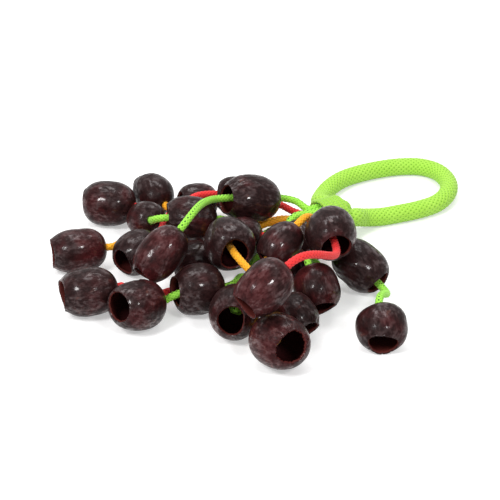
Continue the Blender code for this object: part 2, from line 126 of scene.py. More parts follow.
# Each strand: cord colour, its place in the bundle (row, column), then its two nuts from the
# binding outwards. A nut's row holds its place, the aim of its mouth (heading and tilt in
# degrees) and its length, width and thickness as multiples of the sizes above. A height of 0
# stands for the surface. The lead runs from the binding to the upper nut's back, and the link
# from its mouth to the end nut's back.
STRANDS = [
    {
        "cord": "green", "slot": (0, 2),
        "upper": ((-0.003, 0.028, 0.025), (205, 12), (1.17, 1.08, 1.00)),
        "end": ((-0.042, -0.026, 0.024), (220, -37), (1.14, 0.86, 0.86)),
        "lead": [(0.0210, 0.0375, 0.0205)],
        "link": [],
    },
    {
        "cord": "green", "slot": (2, 0),
        "upper": ((0.049, -0.013, 0.0), (318, -25), (1.12, 0.98, 0.96)),
        "end": ((0.057, -0.064, 0.0), (272, -22), (0.87, 1.00, 0.86)),
        "lead": [(0.0370, 0.0150, 0.0120)],
        "link": [],
    },
    {
        "cord": "green", "slot": (3, 1),
        "upper": ((0.002, -0.032, 0.0), (225, 5), (0.81, 0.79, 0.79)),
        "end": ((-0.010, -0.053, 0.0), (262, 12), (1.08, 0.97, 1.04)),
        "lead": [(0.0130, 0.0220, 0.0035), (0.0030, 0.0060, 0.0035)],
        "link": [],
    },
    {
        "cord": "green", "slot": (2, 2),
        "upper": ((-0.031, 0.017, 0.022), (185, 5), (1.04, 0.96, 0.94)),
        "end": ((-0.054, 0.034, 0.012), (110, -25), (0.85, 0.81, 0.81)),
        "lead": [(0.0100, 0.0280, 0.0070), (-0.0040, 0.0220, 0.0080)],
        "link": [],
    },
    {
        "cord": "green", "slot": (3, 2),
        "upper": ((-0.027, -0.034, 0.0), (200, 5), (0.96, 1.04, 1.04)),
        "end": ((-0.053, -0.047, 0.0), (226, 18), (1.10, 1.0, 0.98)),
        "lead": [(0.0110, 0.0170, 0.0035), (-0.0030, -0.0080, 0.0035)],
        "link": [],
    },
    {
        "cord": "green", "slot": (0, 1),
        "upper": ((0.023, 0.012, 0.0), (296, -20), (0.89, 0.84, 0.83)),
        "end": ((0.0275, -0.036, 0.0), (290, -36), (0.92, 0.92, 0.92)),
        "lead": [(0.0200, 0.0300, 0.0175)],
        "link": [(0.0295, -0.0080, 0.0130)],
    },
    {
        "cord": "yellow", "slot": (1, 2),
        "upper": ((-0.012, -0.016, 0.026), (285, 5), (1.04, 1.04, 1.04)),
        "end": ((0.011, -0.079, 0.0), (296, 18), (1.08, 1.08, 1.08)),
        "lead": [
            (0.0130, 0.0280, 0.0100), (-0.0070, 0.0220, 0.0070),
            (-0.0190, 0.0160, 0.0110), (-0.0215, 0.0090, 0.0170),
        ],
        "link": [(0.0030, -0.0460, 0.0190)],
    },
    {
        "cord": "yellow", "slot": (0, 0),
        "upper": ((0.012, -0.019, 0.028), (225, -28), (0.94, 0.76, 0.76)),
        "end": ((0.0205, -0.050, 0.0), (310, -25), (0.87, 0.81, 0.81)),
        "lead": [(0.0310, 0.0180, 0.0160)],
        "link": [(0.0060, -0.0370, 0.0210)],
    },
    {
        "cord": "yellow", "slot": (2, 1),
        "upper": ((-0.0275, -0.0042, 0.0), (180, -10), (0.89, 0.87, 0.87)),
        "end": ((-0.0855, 0.0045, 0.0), (194, 0), (1.13, 0.95, 0.9)),
        "lead": [(0.0100, 0.0300, 0.0030), (0.0000, 0.0120, 0.0035)],
        "link": [(-0.0500, 0.0160, 0.0090)],
    },
    {
        "cord": "yellow", "slot": (2, 3),
        "upper": ((-0.0275, 0.0560, 0.0), (205, 8), (0.85, 0.83, 0.83)),
        "end": ((-0.050, 0.064, 0.0), (122, 5), (0.94, 0.9, 0.85)),
        "lead": [
            (0.0150, 0.0460, 0.0060), (0.0040, 0.0450, 0.0040),
            (-0.0050, 0.0530, 0.0035), (-0.0130, 0.0610, 0.0060),
        ],
        "link": [],
    },
    {
        "cord": "red", "slot": (1, 0),
        "upper": ((0.037, -0.017, 0.031), (280, -8), (0.98, 1.01, 1.01)),
        "end": ((0.004, -0.073, 0.037), (217, -26), (1.08, 0.96, 0.92)),
        "lead": [(0.0360, 0.0140, 0.0220)],
        "link": [],
    },
    {
        "cord": "red", "slot": (1, 3),
        "upper": ((-0.0110, 0.049, 0.0165), (178, 5), (0.90, 0.83, 0.83)),
        "end": ((-0.0565, 0.003, 0.0), (230, -8), (0.96, 0.92, 0.9)),
        "lead": [(0.0150, 0.0440, 0.0140)],
        "link": [(-0.0280, 0.0440, 0.0195), (-0.0340, 0.0370, 0.0190), (-0.0440, 0.0260, 0.0160)],
    },
    {
        "cord": "red", "slot": (1, 1),
        "upper": ((-0.007, 0.008, 0.018), (172, -10), (0.92, 0.87, 0.87)),
        "end": ((-0.074, 0.051, 0.0), (168, 0), (1.08, 1.0, 0.98)),
        "lead": [(0.0190, 0.0280, 0.0125), (0.0100, 0.0200, 0.0140)],
        "link": [
            (-0.0240, 0.0130, 0.0095), (-0.0300, 0.0190, 0.0060),
            (-0.0400, 0.0360, 0.0030), (-0.0500, 0.0470, 0.0060),
        ],
    },
    {
        "cord": "red", "slot": (3, 0),
        "upper": ((0.016, -0.008, 0.0), (200, -10), (0.85, 0.83, 0.83)),
        "end": ((-0.077, -0.035, 0.0), (197, 0), (1.08, 1.04, 1.0)),
        "lead": [(0.0350, 0.0100, 0.0050)],
        "link": [
            (-0.0100, -0.0160, 0.0030), (-0.0400, -0.0220, 0.0030), (-0.0600, -0.0340, 0.0040),
        ],
    },
]


class Nut:
    """One shell: a rounded barrel about its own axis, which points out of its mouth."""

    def __init__(self, name, row, seed):
        place, (heading, tilt), (length, width, thickness) = row
        self.name = name
        self.half = np.array([NUT_WIDTH * width, NUT_WIDTH * thickness, NUT_LENGTH * length]) / 2
        heading, tilt = math.radians(heading), math.radians(tilt)
        level = math.cos(tilt)
        axis = np.array([level * math.cos(heading), level * math.sin(heading), math.sin(tilt)])
        side = np.array([-math.sin(heading), math.cos(heading), 0.0])
        self.axis = axis
        self.turn = np.stack([side, np.cross(axis, side), axis], axis=1)
        waves = np.random.default_rng(seed)
        self.wave_ways = waves.normal(size=(LUMP_WAVES, 3))
        self.wave_ways /= np.linalg.norm(self.wave_ways, axis=1, keepdims=True)
        self.wave_starts = waves.uniform(0, 2 * math.pi, LUMP_WAVES)
        self.mouth = MOUTH_WIDTH / 2 * width
        self.hole = CORD_WIDTH / 2 + HOLE_CLEARANCE
        self.points = self.outer_rings().reshape(-1, 3) @ self.turn.T
        self.floor = -self.points[:, 2].min()
        self.place = np.array([place[0], place[1], max(place[2], self.floor)])

    def reach(self, local):
        """Distance from the centre to the outer surface along each local direction."""
        unit = local / np.linalg.norm(local, axis=-1, keepdims=True)
        smooth = (np.abs(unit / self.half) ** [2, 2, NUT_ROUNDNESS]).copy()
        across = np.sqrt(smooth[..., 0] + smooth[..., 1]) ** NUT_ROUNDNESS
        barrel = (across + smooth[..., 2]) ** (-1 / NUT_ROUNDNESS)
        waves = np.sin(LUMP_TURN * unit @ self.wave_ways.T + self.wave_starts).mean(axis=-1)
        return barrel * (1 + NUT_LUMP * waves)

    def mouth_height(self):
        """How far along the axis the flat ring round the mouth lies."""
        wide = (self.half[0] + self.half[1]) / 2
        share = 1 - ((self.mouth + MOUTH_RIM) / wide) ** NUT_ROUNDNESS
        return self.half[2] * share ** (1 / NUT_ROUNDNESS)

    def ring(self, radius, height):
        turn = 2 * math.pi * np.arange(NUT_SIDES) / NUT_SIDES
        level = np.full(NUT_SIDES, height)
        return np.stack([radius * np.cos(turn), radius * np.sin(turn), level], 1)

    def surface(self, angles, inset):
        """Rings of the surface, at angles from the back of the axis, that much under the skin."""
        turn = 2 * math.pi * np.arange(NUT_SIDES) / NUT_SIDES
        spread = np.sin(angles)[:, None]
        unit = np.stack(
            [spread * np.cos(turn), spread * np.sin(turn), -np.cos(angles)[:, None] + 0 * turn], -1
        )
        return unit * (self.reach(unit) - inset)[..., None]

    def rim_angle(self):
        return math.pi - math.atan2(self.mouth + MOUTH_RIM, self.mouth_height())

    def outer_rings(self):
        back = math.atan2(self.hole, self.half[2])
        return self.surface(np.linspace(back, self.rim_angle(), OUTER_RINGS + 1), 0.0)

    def shell(self):
        """Rings from the pierced back, over the outside, round the rim and back inside."""
        outside = self.outer_rings()[:-1]
        edge = np.hypot(outside[0, :, 0], outside[0, :, 1])
        outside[0, :, :2] *= (self.hole / edge)[:, None]
        height = self.mouth_height()
        lip = height - NUT_WALL
        deep = self.half[2] - NUT_WALL
        first = math.pi - math.atan2(self.mouth, lip)
        last = math.atan2(self.hole, deep)
        inside = self.surface(np.linspace(first, last, INNER_RINGS + 2)[1:-1], NUT_WALL)
        hole_inside = self.surface(np.array([last]), NUT_WALL)[0]
        edge = np.hypot(hole_inside[:, 0], hole_inside[:, 1])
        hole_inside[:, :2] *= (self.hole / edge)[:, None]
        rim = [
            self.ring(self.mouth + MOUTH_RIM, height),
            self.ring(self.mouth, height),
            self.ring(self.mouth, lip),
        ]
        rings = np.concatenate([outside, rim, inside, [hole_inside]])
        return rings @ self.turn.T + self.place

    def along(self, distance):
        return self.place + self.axis * distance

    def back(self):
        """Distance from the centre to the back, along the axis."""
        return float(self.reach(np.array([0.0, 0.0, -1.0])))


def gap_between(one, other):
    """The least distance from either nut's points to the other's surface, near enough."""
    to_other = (one.points + one.place - other.place) @ other.turn
    to_one = (other.points + other.place - one.place) @ one.turn
    return min(
        (np.linalg.norm(to_other, axis=1) - other.reach(to_other)).min(),
        (np.linalg.norm(to_one, axis=1) - one.reach(to_one)).min(),
    )


def ease_apart(nuts):
    """Pushes nuts that press into each other apart, above the surface, until all are clear."""
    widest = 2 * max(nut.half.max() for nut in nuts) * (1 + NUT_LUMP) + NUT_GAP
    for _ in range(NUT_ROUNDS):
        moved = False
        for i, nut in enumerate(nuts):
            for other in nuts[:i]:
                apart = nut.place - other.place
                distance = np.linalg.norm(apart)
                if distance > widest:
                    continue
                short = NUT_GAP - gap_between(nut, other)
                if short > 0:
                    push = apart / distance * (short / 2 + NUT_STEP)
                    nut.place = nut.place + push
                    other.place = other.place - push
                    moved = True
        for nut in nuts:
            nut.place[2] = max(nut.place[2], nut.floor)
        if not moved:
            return


def smooth_route(points, step):
    """Points on a smooth curve through the route's own points, and which of them those are."""
    points = np.array(points)
    before = np.concatenate([[2 * points[0] - points[1]], points[:-1]])
    after = np.concatenate([points[1:], [2 * points[-1] - points[-2]]])
    ahead = np.linalg.norm(after - points, axis=1)[:, None]
    behind = np.linalg.norm(points - before, axis=1)[:, None]
    slope = (after - points) / ahead * behind + (points - before) / behind * ahead
    slope /= ahead + behind
    out = [points[:1]]
    place = [0]
    for i in range(len(points) - 1):
        span = np.linalg.norm(points[i + 1] - points[i])
        count = max(1, round(span / step))
        t = (np.arange(1, count + 1) / count)[:, None]
        out.append(
            (2 * t**3 - 3 * t**2 + 1) * points[i]
            + (t**3 - 2 * t**2 + t) * span * slope[i]
            + (3 * t**2 - 2 * t**3) * points[i + 1]
            + (t**3 - t**2) * span * slope[i + 1]
        )
        place.append(place[-1] + count)
    return np.concatenate(out), np.array(place)


def neck_frame():
    """The binding's middle line: its outer face, the way out, and sideways to the right."""
    heading = math.radians(NECK_HEADING)
    out = np.array([math.cos(heading), math.sin(heading), 0.0])
    right = np.array([out[1], -out[0], 0.0])
    return np.array([*NECK_PLACE, binding_outer()[1] + TOUCH_GAP]), out, right


BUNDLE_ROWS = [3, 4, 4, 3]


def slot_offset(row, column):
    """Sideways and upward place of a cord in the bundle."""
    pitch = CORD_WIDTH + TOUCH_GAP
    sideways = (column - (BUNDLE_ROWS[row] - 1) / 2) * pitch
    upward = ((len(BUNDLE_ROWS) - 1) / 2 - row) * pitch
    return sideways, upward


def bundle_radius():
    """Radius of the circle round all the cords in the binding."""
    slots = [slot_offset(r, c) for r, n in enumerate(BUNDLE_ROWS) for c in range(n)]
    return max(math.hypot(*slot) for slot in slots) + CORD_WIDTH / 2


def handle_offset():
    return (HANDLE_WIDTH + TOUCH_GAP) / 2


def binding_inner():
    """Half the binding's oval opening, sideways and upwards, round two ropes and a bundle."""
    handle_reach = handle_offset() + HANDLE_WIDTH / 2
    return np.array([max(bundle_radius(), handle_reach), bundle_radius()]) + TOUCH_GAP


def binding_outer():
    return binding_inner() + BINDING_WALL


def lay_strand(strand):
    """The cord's points, which of them are held in place, and its width at each.

    It is held in the binding, and in each nut from just outside the back to the stopper knot.
    """
    centre, out, right = neck_frame()
    sideways, upward = slot_offset(*strand["slot"])
    seat = centre + right * sideways + np.array([0, 0, upward])
    route = [seat - out * GRIP_DEPTH, seat, seat + out * CORD_WIDTH, *strand["lead"]]
    spans = [(0, 2)]
    knots = []
    for nut, link in ((strand["upper_nut"], strand["link"]), (strand["end_nut"], None)):
        first = len(route)
        inner = NUT_WALL + KNOT_SEAT - nut.back()
        route += [nut.along(-nut.back() - CORD_WIDTH * LEAD_IN), nut.along(inner)]
        route += [nut.along(inner + KNOT_LENGTH * share) for share in (0.25, 0.75, 1.0)]
        spans.append((first, first + 4))
        knots += [first + 2, first + 3]
        if link is not None:
            route += [nut.along(nut.mouth_height()), *link]
        else:
            route.append(nut.along(inner + KNOT_LENGTH + CORD_WIDTH))
            spans.append((first + 4, first + 5))
    points, place = smooth_route(route, CORD_STEP * CORD_WIDTH)
    held = np.zeros(len(points), bool)
    for first, last in spans:
        held[place[first] : place[last] + 1] = True
    widths = np.full(len(points), CORD_WIDTH)
    widths[place[knots]] = KNOT_WIDTH
    return points, held, widths, (place[knots[0]], place[knots[2]])


def push_from_nut(nut, spots, radius, own_side):
    """Moves that take spots of a cord clear of a nut. own_side marks those past its own knot,
    which run inside the shell and out of its mouth."""
    local = (spots - nut.place) @ nut.turn
    distance = np.linalg.norm(local, axis=1)
    off = np.hypot(local[:, 0], local[:, 1])
    short = nut.reach(local) + radius + CORD_GAP - distance
    push = local / distance[:, None] * np.maximum(short, 0)[:, None]
    leaving = own_side & (local[:, 2] < nut.mouth_height() + radius) & (off < nut.half[0])
    over = np.maximum(off + radius + CORD_GAP - nut.mouth, 0) / np.maximum(off, CORD_GAP)
    inward = -local * np.array([1.0, 1.0, 0.0]) * over[:, None]
    return np.where(leaving[:, None], inward, push) @ nut.turn.T


def ease_cords(strands, nuts):
    """Shifts the free points of all cords until they clear the nuts, each other and the surface.

    Each cord is tested at its points and halfway between them.
    """
    laid = [lay_strand(strand) for strand in strands]
    counts = [len(points) for points, *_ in laid]
    start = np.concatenate([points for points, *_ in laid])
    held = np.concatenate([marks for _, marks, *_ in laid])
    width = np.concatenate([widths for _, _, widths, _ in laid])
    cord = np.repeat(np.arange(len(laid)), counts)
    step = np.concatenate([np.arange(count) for count in counts])
    first = np.flatnonzero(cord[:-1] == cord[1:])
    radius = np.concatenate([width, (width[first] + width[first + 1]) / 2]) / 2
    spot_cord = np.concatenate([cord, cord[first]])
    spot_step = np.concatenate([step, step[first] + 0.5])
    past = np.array([knots for *_, knots in laid])[spot_cord]
    inner = np.flatnonzero(~held)
    one, two = np.triu_indices(len(radius), 1)
    fixed = np.concatenate([held, held[first] & held[first + 1]])
    few_steps = abs(spot_step[one] - spot_step[two]) < SELF_STEPS
    beside = (spot_cord[one] == spot_cord[two]) & few_steps
    one, two = one[~beside & ~(fixed[one] & fixed[two])], two[~beside & ~(fixed[one] & fixed[two])]
    now = start.copy()
    for turn in range(CORD_ROUNDS):
        spots = np.concatenate([now, (now[first] + now[first + 1]) / 2])
        if turn % CORD_RESORT == 0:
            close = np.linalg.norm(spots[one] - spots[two], axis=1) < CORD_REACH
            near_one, near_two = one[close], two[close]
            places = np.array([nut.place for nut in nuts])
            reach = CORD_REACH + NUT_LENGTH / 2
            beside_nut = np.linalg.norm(spots[:, None] - places, axis=2) < reach
        push = np.zeros_like(spots)
        for number, nut in enumerate(nuts):
            near = np.flatnonzero(beside_nut[:, number])
            own_side = spot_cord[near] == number // 2
            own_side &= spot_step[near] > past[near, number % 2]
            push[near] += push_from_nut(nut, spots[near], radius[near], own_side)
        apart = spots[near_one] - spots[near_two]
        distance = np.linalg.norm(apart, axis=1)
        short = np.maximum(radius[near_one] + radius[near_two] + CORD_GAP - distance, 0) / 2
        apart *= (short / distance)[:, None]
        np.add.at(push, near_one, apart)
        np.add.at(push, near_two, -apart)
        push[:, 2] += np.maximum(radius + CORD_GAP - spots[:, 2], 0)
        move = push[: len(now)].copy()
        np.add.at(move, first, push[len(now) :])
        np.add.at(move, first + 1, push[len(now) :])
        now[inner] += move[inner] * CORD_SHARE
        if turn < CORD_ROUNDS * SPREAD_UNTIL:
            shift = now - start
            now[inner] += (shift[inner - 1] + shift[inner + 1] - 2 * shift[inner]) * CORD_SPREAD
        bend = now[inner - 1] + now[inner + 1] - 2 * now[inner]
        size = np.linalg.norm(bend, axis=1)
        stretch = np.linalg.norm(now[inner + 1] - now[inner - 1], axis=1) / 2
        sharp = np.maximum(1 - stretch * SHARPEST / np.maximum(size, 1e-9), 0)
        now[inner] += bend * (sharp * CORD_SPREAD)[:, None]
    eased = np.split(now, np.cumsum(counts)[:-1])
    return [(points, widths) for points, (_, _, widths, _) in zip(eased, laid)]


nuts = []
for number, strand in enumerate(STRANDS, start=1):
    for seat in ("upper", "end"):
        nut = Nut(f"{seat}_nut_{number:02d}", strand[seat], len(nuts))
        strand[f"{seat}_nut"] = nut
        nuts.append(nut)
ease_apart(nuts)
cords = ease_cords(STRANDS, nuts)
# The frame is centred on its own box, so everything moves over by the first shell's offset.
CENTRE = np.array(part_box(nuts[0].name)[0]) - nuts[0].shell().reshape(-1, 3).min(axis=0)


# Nut shells. Each is the hard hollow shell of a seed, sawn open at one end and drilled at the
# other, then polished. They are lumpy, dark brown to maroon, with lengthwise wrinkles on some,
# a thin reddish rim where the saw went through and a dark dry inside.
def put_in_scene(name, points, faces, material, node):
    """A mesh piece in the frame's place that stands for its CAD node and rides on it. What
    would dip under the table is flattened on it."""
    above = np.maximum(points + CENTRE, (-np.inf, -np.inf, 0.0))
    mesh = bpy.data.meshes.new(name)
    mesh.from_pydata(above.tolist(), [], faces.tolist())
    mesh.materials.append(material)
    mesh.shade_smooth()
    piece = bpy.data.objects.new(name, mesh)
    bpy.context.scene.collection.objects.link(piece)
    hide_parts(node)
    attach(piece, "root")
    return piece


def ring_faces(rings, sides):
    """Quads over a grid of rings whose last ring meets the first again."""
    index = np.arange(rings * sides).reshape(rings, sides)
    across = np.roll(index, -1, axis=1)
    along = np.roll(index, -1, axis=0)
    both = np.roll(across, -1, axis=0)
    return np.stack([index, across, both, along], axis=-1).reshape(-1, 4)


def give(mesh, name, kind, values):
    """A value for each point of a mesh, which the material reads by name."""
    attribute = mesh.attributes.new(name, kind, "POINT")
    attribute.data.foreach_set("vector" if kind == "FLOAT_VECTOR" else "value", np.ravel(values))


class Wire:
    """A number or colour that runs through a material, worked on with plain arithmetic."""

    def __init__(self, tree, socket):
        self.tree = tree
        self.socket = socket

    def node(self, kind, inputs, output=0, **settings):
        made = self.tree.nodes.new(kind)
        for key, value in settings.items():
            setattr(made, key, value)
        for key, value in inputs.items():
            if isinstance(value, Wire):
                self.tree.links.new(value.socket, made.inputs[key])
            else:
                made.inputs[key].default_value = value
        return Wire(self.tree, made.outputs[output])

    def maths(self, operation, one, other=0.0, clamp=False):
        return self.node("ShaderNodeMath", {0: one, 1: other}, operation=operation, use_clamp=clamp)

    def __add__(self, other):
        return self.maths("ADD", self, other)

    __radd__ = __add__

    def __sub__(self, other):
        return self.maths("SUBTRACT", self, other)

    def __rsub__(self, other):
        return self.maths("SUBTRACT", other, self)

    def __mul__(self, other):
        if self.socket.type in ("RGBA", "VECTOR"):
            return self.node("ShaderNodeVectorMath", {0: self, "Scale": other}, operation="SCALE")
        return self.maths("MULTIPLY", self, other)

    __rmul__ = __mul__

    def __truediv__(self, other):
        return self.maths("DIVIDE", self, other)

    def between(self, low, high):
        """0 below low and 1 above high, with a smooth step from one to the other."""
        inputs = {"Value": self, "From Min": low, "From Max": high}
        return self.node("ShaderNodeMapRange", inputs, interpolation_type="SMOOTHSTEP")

    def mix(self, one, other):
        """One colour where this is 0, and the other where it is 1."""
        colours = [c if isinstance(c, Wire) else (*c, 1.0) for c in (one, other)]
        inputs = {0: self, 6: colours[0], 7: colours[1]}
        return self.node("ShaderNodeMix", inputs, 2, data_type="RGBA")

    def noise(self, scale, detail=3.0, roughness=0.5, stretch=(1.0, 1.0, 1.0), shift=0.0):
        """Smooth noise over this vector, stretched by that much along each axis."""
        moved = self.node(
            "ShaderNodeMapping", {"Vector": self, "Scale": stretch, "Location": (shift, shift, 0.0)}
        )
        inputs = {"Vector": moved, "Scale": scale, "Detail": detail, "Roughness": roughness}
        return self.node("ShaderNodeTexNoise", inputs)


def new_material(name):
    """A material with its shader, and a wire to start others from."""
    material = bpy.data.materials.new(name)
    material.use_nodes = True
    tree = material.node_tree
    shader = tree.nodes["Principled BSDF"]
    return material, shader, Wire(tree, None)


def feed(start, shader, **inputs):
    """Links or sets the shader's sockets by name, with underscores for spaces."""
    for key, value in inputs.items():
        socket = shader.inputs[key.replace("_", " ")]
        if isinstance(value, Wire):
            start.tree.links.new(value.socket, socket)
        else:
            socket.default_value = value


SHELL_SIDES = 96
SHELL_RINGS = 64
SHELL_INNER_RINGS = 20
LIP_RINGS = 8
RIPPLE = 0.010
HOLLOWS = 7
HOLLOW_DEPTH = 0.068
HOLLOW_WIDTH = 0.40
WRINKLE = 0.00034
MOUTH_WOBBLE = 0.07
LIP_WAVE = 0.00045
LIP_START = 0.86  # share of the skin's rings after which it draws in to the lip
NICK = 0.08
NUT_LOOKS = {
    # dents, wrinkles, redness, scuffs, rim chips
    "upper_nut_01": (0.9, 0.5, 0.05, 0.7, 0.3),
    "end_nut_01": (0.5, 0.1, 0.8, 0.2, 0.2),
    "upper_nut_02": (0.7, 0.6, 0.05, 0.2, 0.3),
    "end_nut_02": (0.6, 0.1, 0.4, 0.5, 0.5),
    "end_nut_03": (0.6, 0.1, 0.4, 0.2, 0.3),
    "upper_nut_04": (1.3, 0.9, 0.4, 0.6, 0.3),
    "end_nut_04": (1.1, 0.4, 0.5, 0.7, 0.3),
    "upper_nut_05": (0.8, 1.2, 0.15, 0.5, 0.3),
    "end_nut_05": (1.0, 0.4, 0.5, 0.6, 0.5),
    "end_nut_06": (0.6, 0.1, 0.6, 0.1, 0.2),
    "upper_nut_07": (1.0, 0.2, 0.1, 0.2, 0.6),
    "end_nut_07": (0.9, 0.5, 0.7, 1.0, 1.2),
    "upper_nut_08": (0.6, 0.2, 0.5, 0.2, 0.4),
    "end_nut_08": (1.0, 1.1, 0.3, 0.4, 0.3),
    "end_nut_09": (0.9, 0.3, 0.6, 0.3, 0.3),
    "upper_nut_10": (0.6, 0.3, 0.1, 0.3, 0.3),
    "end_nut_10": (1.1, 0.3, 0.05, 0.2, 0.3),
    "upper_nut_11": (0.7, 0.1, 0.3, 0.3, 0.3),
    "end_nut_11": (0.9, 0.1, 0.9, 0.2, 0.4),
    "end_nut_12": (0.8, 0.4, 0.2, 0.4, 0.3),
    "end_nut_13": (0.6, 0.1, 0.5, 0.2, 0.2),
    "end_nut_14": (0.9, 0.3, 0.4, 0.6, 0.5),
}
PLAIN_LOOK = (0.8, 0.3, 0.3, 0.3, 0.3)


def ripples(unit, seed, count, turn):
    """Mean of count sine waves of the direction, each turning by about turn radians."""
    waves = np.random.default_rng(seed)
    ways = waves.normal(size=(count, 3))
    ways *= turn / np.linalg.norm(ways, axis=1, keepdims=True)
    starts = waves.uniform(0, 2 * math.pi, count)
    return np.sin(unit @ ways.T + starts).mean(axis=-1)


def hollows(unit, seed):
    """Sum of shallow hollows, each a bell of the angle from its own random direction."""
    random = np.random.default_rng(seed + 100)
    ways = random.normal(size=(HOLLOWS, 3))
    ways /= np.linalg.norm(ways, axis=1, keepdims=True)
    depths = HOLLOW_DEPTH * random.uniform(0.3, 1.0, HOLLOWS)
    widths = HOLLOW_WIDTH * random.uniform(0.7, 1.4, HOLLOWS)
    return (np.exp((unit @ ways.T - 1) / widths**2) * depths).sum(axis=-1)


def shell_skin(nut, seed, angles, inset, dents, wrinkles):
    """Points at those angles from the back: the smooth barrel's reach in each direction, less
    its hollows, plus a slow ripple of the direction, plus wrinkles, a fast ripple of the turn
    round the axis that dies out towards the back."""
    turn = 2 * math.pi * np.arange(SHELL_SIDES) / SHELL_SIDES
    spread = np.sin(angles)[:, None]
    unit = np.stack(
        [spread * np.cos(turn), spread * np.sin(turn), -np.cos(angles)[:, None] + 0 * turn], -1
    )
    bulk = 1 + dents * (RIPPLE * ripples(unit, seed, 5, 6.0) - hollows(unit, seed))
    drift = ripples(unit, seed + 7, 4, 4.5) * 3.0
    lines = np.sin(9 * turn + 2 * drift + seed) + 0.8 * np.sin(16 * turn + 4 * drift + 2 * seed)
    patch = np.clip(ripples(unit, seed + 3, 3, 2.0) + 0.35, 0, 1)
    reach = nut.reach(unit) * bulk + WRINKLE * wrinkles * lines * patch * spread**2
    return unit * (reach - inset)[..., None]


def dress_nut(nut, seed, material, dents, wrinkles, chips):
    """A shell's grid: out over the skin, over the rounded lip of the mouth, and back along the
    inside. The mouth's circle and its height wobble, as worn and hand-cut ones do."""
    turn = 2 * math.pi * np.arange(SHELL_SIDES) / SHELL_SIDES
    wobble = np.sin(2 * turn + seed) + 0.5 * np.sin(3 * turn + 2.3 * seed)
    nicks = np.sin(11 * turn + seed) * np.sin(17 * turn + 3 * seed) * np.sin(5 * turn + seed)
    mouth = nut.mouth * (1 + MOUTH_WOBBLE * wobble + NICK * chips * nicks)
    lift = np.sin(2 * turn + 1.7 * seed) - chips * abs(nicks)
    height = nut.mouth_height() + LIP_WAVE * lift
    back = math.atan2(nut.hole, nut.half[2])
    angles = np.linspace(back, nut.rim_angle(), SHELL_RINGS)
    outside = shell_skin(nut, seed, angles, 0.0, dents, wrinkles)
    edge = np.hypot(outside[..., 0], outside[..., 1])
    outside[0, :, :2] *= (nut.hole / edge[0])[:, None]
    # The last rings are drawn in so that the skin ends at the lip.
    past_start = (np.linspace(0, 1, SHELL_RINGS) - LIP_START) / (1 - LIP_START)
    share = np.clip(past_start, 0, 1)[:, None] ** 2
    goal = (mouth + MOUTH_RIM) / np.maximum(edge, 1e-9)
    outside[..., :2] *= (1 + (goal - 1) * share)[..., None]
    outside[..., 2] += (height - outside[..., 2]) * share
    ways = np.stack([np.cos(turn), np.sin(turn)], axis=-1)
    bend = np.linspace(0, math.pi, LIP_RINGS + 1)[1:]
    lip = []
    for angle in bend:
        radius = mouth + MOUTH_RIM * (1 + math.cos(angle)) / 2
        level = height + MOUTH_RIM * (0.3 * math.sin(angle) - 0.45 * (1 - math.cos(angle)))
        lip.append(np.concatenate([ways * radius[:, None], level[:, None]], axis=1))
    deep = nut.half[2] - NUT_WALL
    first = math.pi - math.atan2(nut.mouth, nut.mouth_height() - NUT_WALL)
    last = math.atan2(nut.hole, deep)
    angles = np.linspace(first, last, SHELL_INNER_RINGS + 2)[1:]
    inside = shell_skin(nut, seed, angles, NUT_WALL, dents, 0.0)
    edge = np.hypot(inside[-1, :, 0], inside[-1, :, 1])
    inside[-1, :, :2] *= (nut.hole / edge)[:, None]
    rings = np.concatenate([outside, lip, inside])
    along = np.concatenate(
        [
            np.linspace(0, 1, SHELL_RINGS),
            np.linspace(1.01, 1.1, len(lip)),
            np.linspace(1.12, 2.0, len(inside)),
        ]
    )
    piece = put_in_scene(
        nut.name.replace("nut", "shell"),
        (rings @ nut.turn.T + nut.place).reshape(-1, 3),
        ring_faces(*rings.shape[:2]),
        material,
        nut.name,
    )
    give(piece.data, "grain", "FLOAT_VECTOR", rings)
    give(piece.data, "along", "FLOAT", np.repeat(along, SHELL_SIDES))
    return piece


